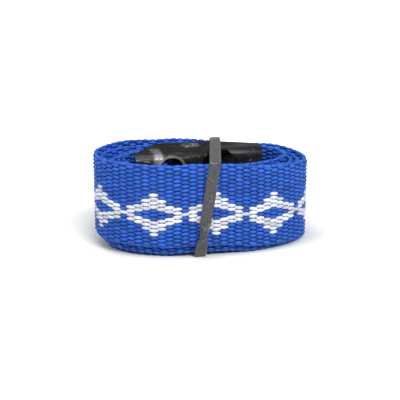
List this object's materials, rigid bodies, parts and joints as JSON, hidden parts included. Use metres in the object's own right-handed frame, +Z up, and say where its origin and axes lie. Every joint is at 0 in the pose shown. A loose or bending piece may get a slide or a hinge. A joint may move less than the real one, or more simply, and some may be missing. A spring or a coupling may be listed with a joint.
{
  "type": "rolled cam buckle tie-down strap",
  "caption": "Narrow woven tie-down strap with a sprung cam buckle, rolled on its edge round the buckle and held by a rubber band.",
  "frame": {"origin": "centre of the roll on the surface it stands on, at the bottom of its bounding box", "axes": "+Z up along the webbing's width, +X along the roll's long axis, the buckle's base plate facing -Y"},
  "size_m": [0.0665, 0.0426, 0.0297],
  "materials": {
    "black_steel": "black coated stamped steel, semi-gloss, worn to bare metal on the folds",
    "black_cast": "black coated die-cast metal, slightly grainy",
    "pin_steel": "dark plated steel rivet, bright on the edge of its head",
    "spring_wire": "bright drawn spring wire",
    "blue_webbing": "woven polyester in royal blue with a white woven pattern",
    "white_thread": "twisted white sewing thread",
    "grey_rubber": "matt grey rubber with a dusty bloom"
  },
  "bodies": {
    "roll": {"buckle_frame": "black_steel", "pivot_pin": "pin_steel", "cam_spring": "spring_wire", "webbing_strap": "blue_webbing", "loop_stitching": "white_thread", "rubber_band": "grey_rubber"},
    "cam": {"cam_lever": "black_cast"}
  },
  "joints": [
    {"name": "cam_pivot", "type": "hinge", "parent": "roll", "child": "cam", "pos_m": [-0.0024, 0.0055, 0.0148], "axis": [0, 0, -1], "range_deg": [0, 26], "stiffness_Nm_per_rad": 0.06, "springref_deg": -28.65, "deforming": ["cam_spring"]}
  ]
}
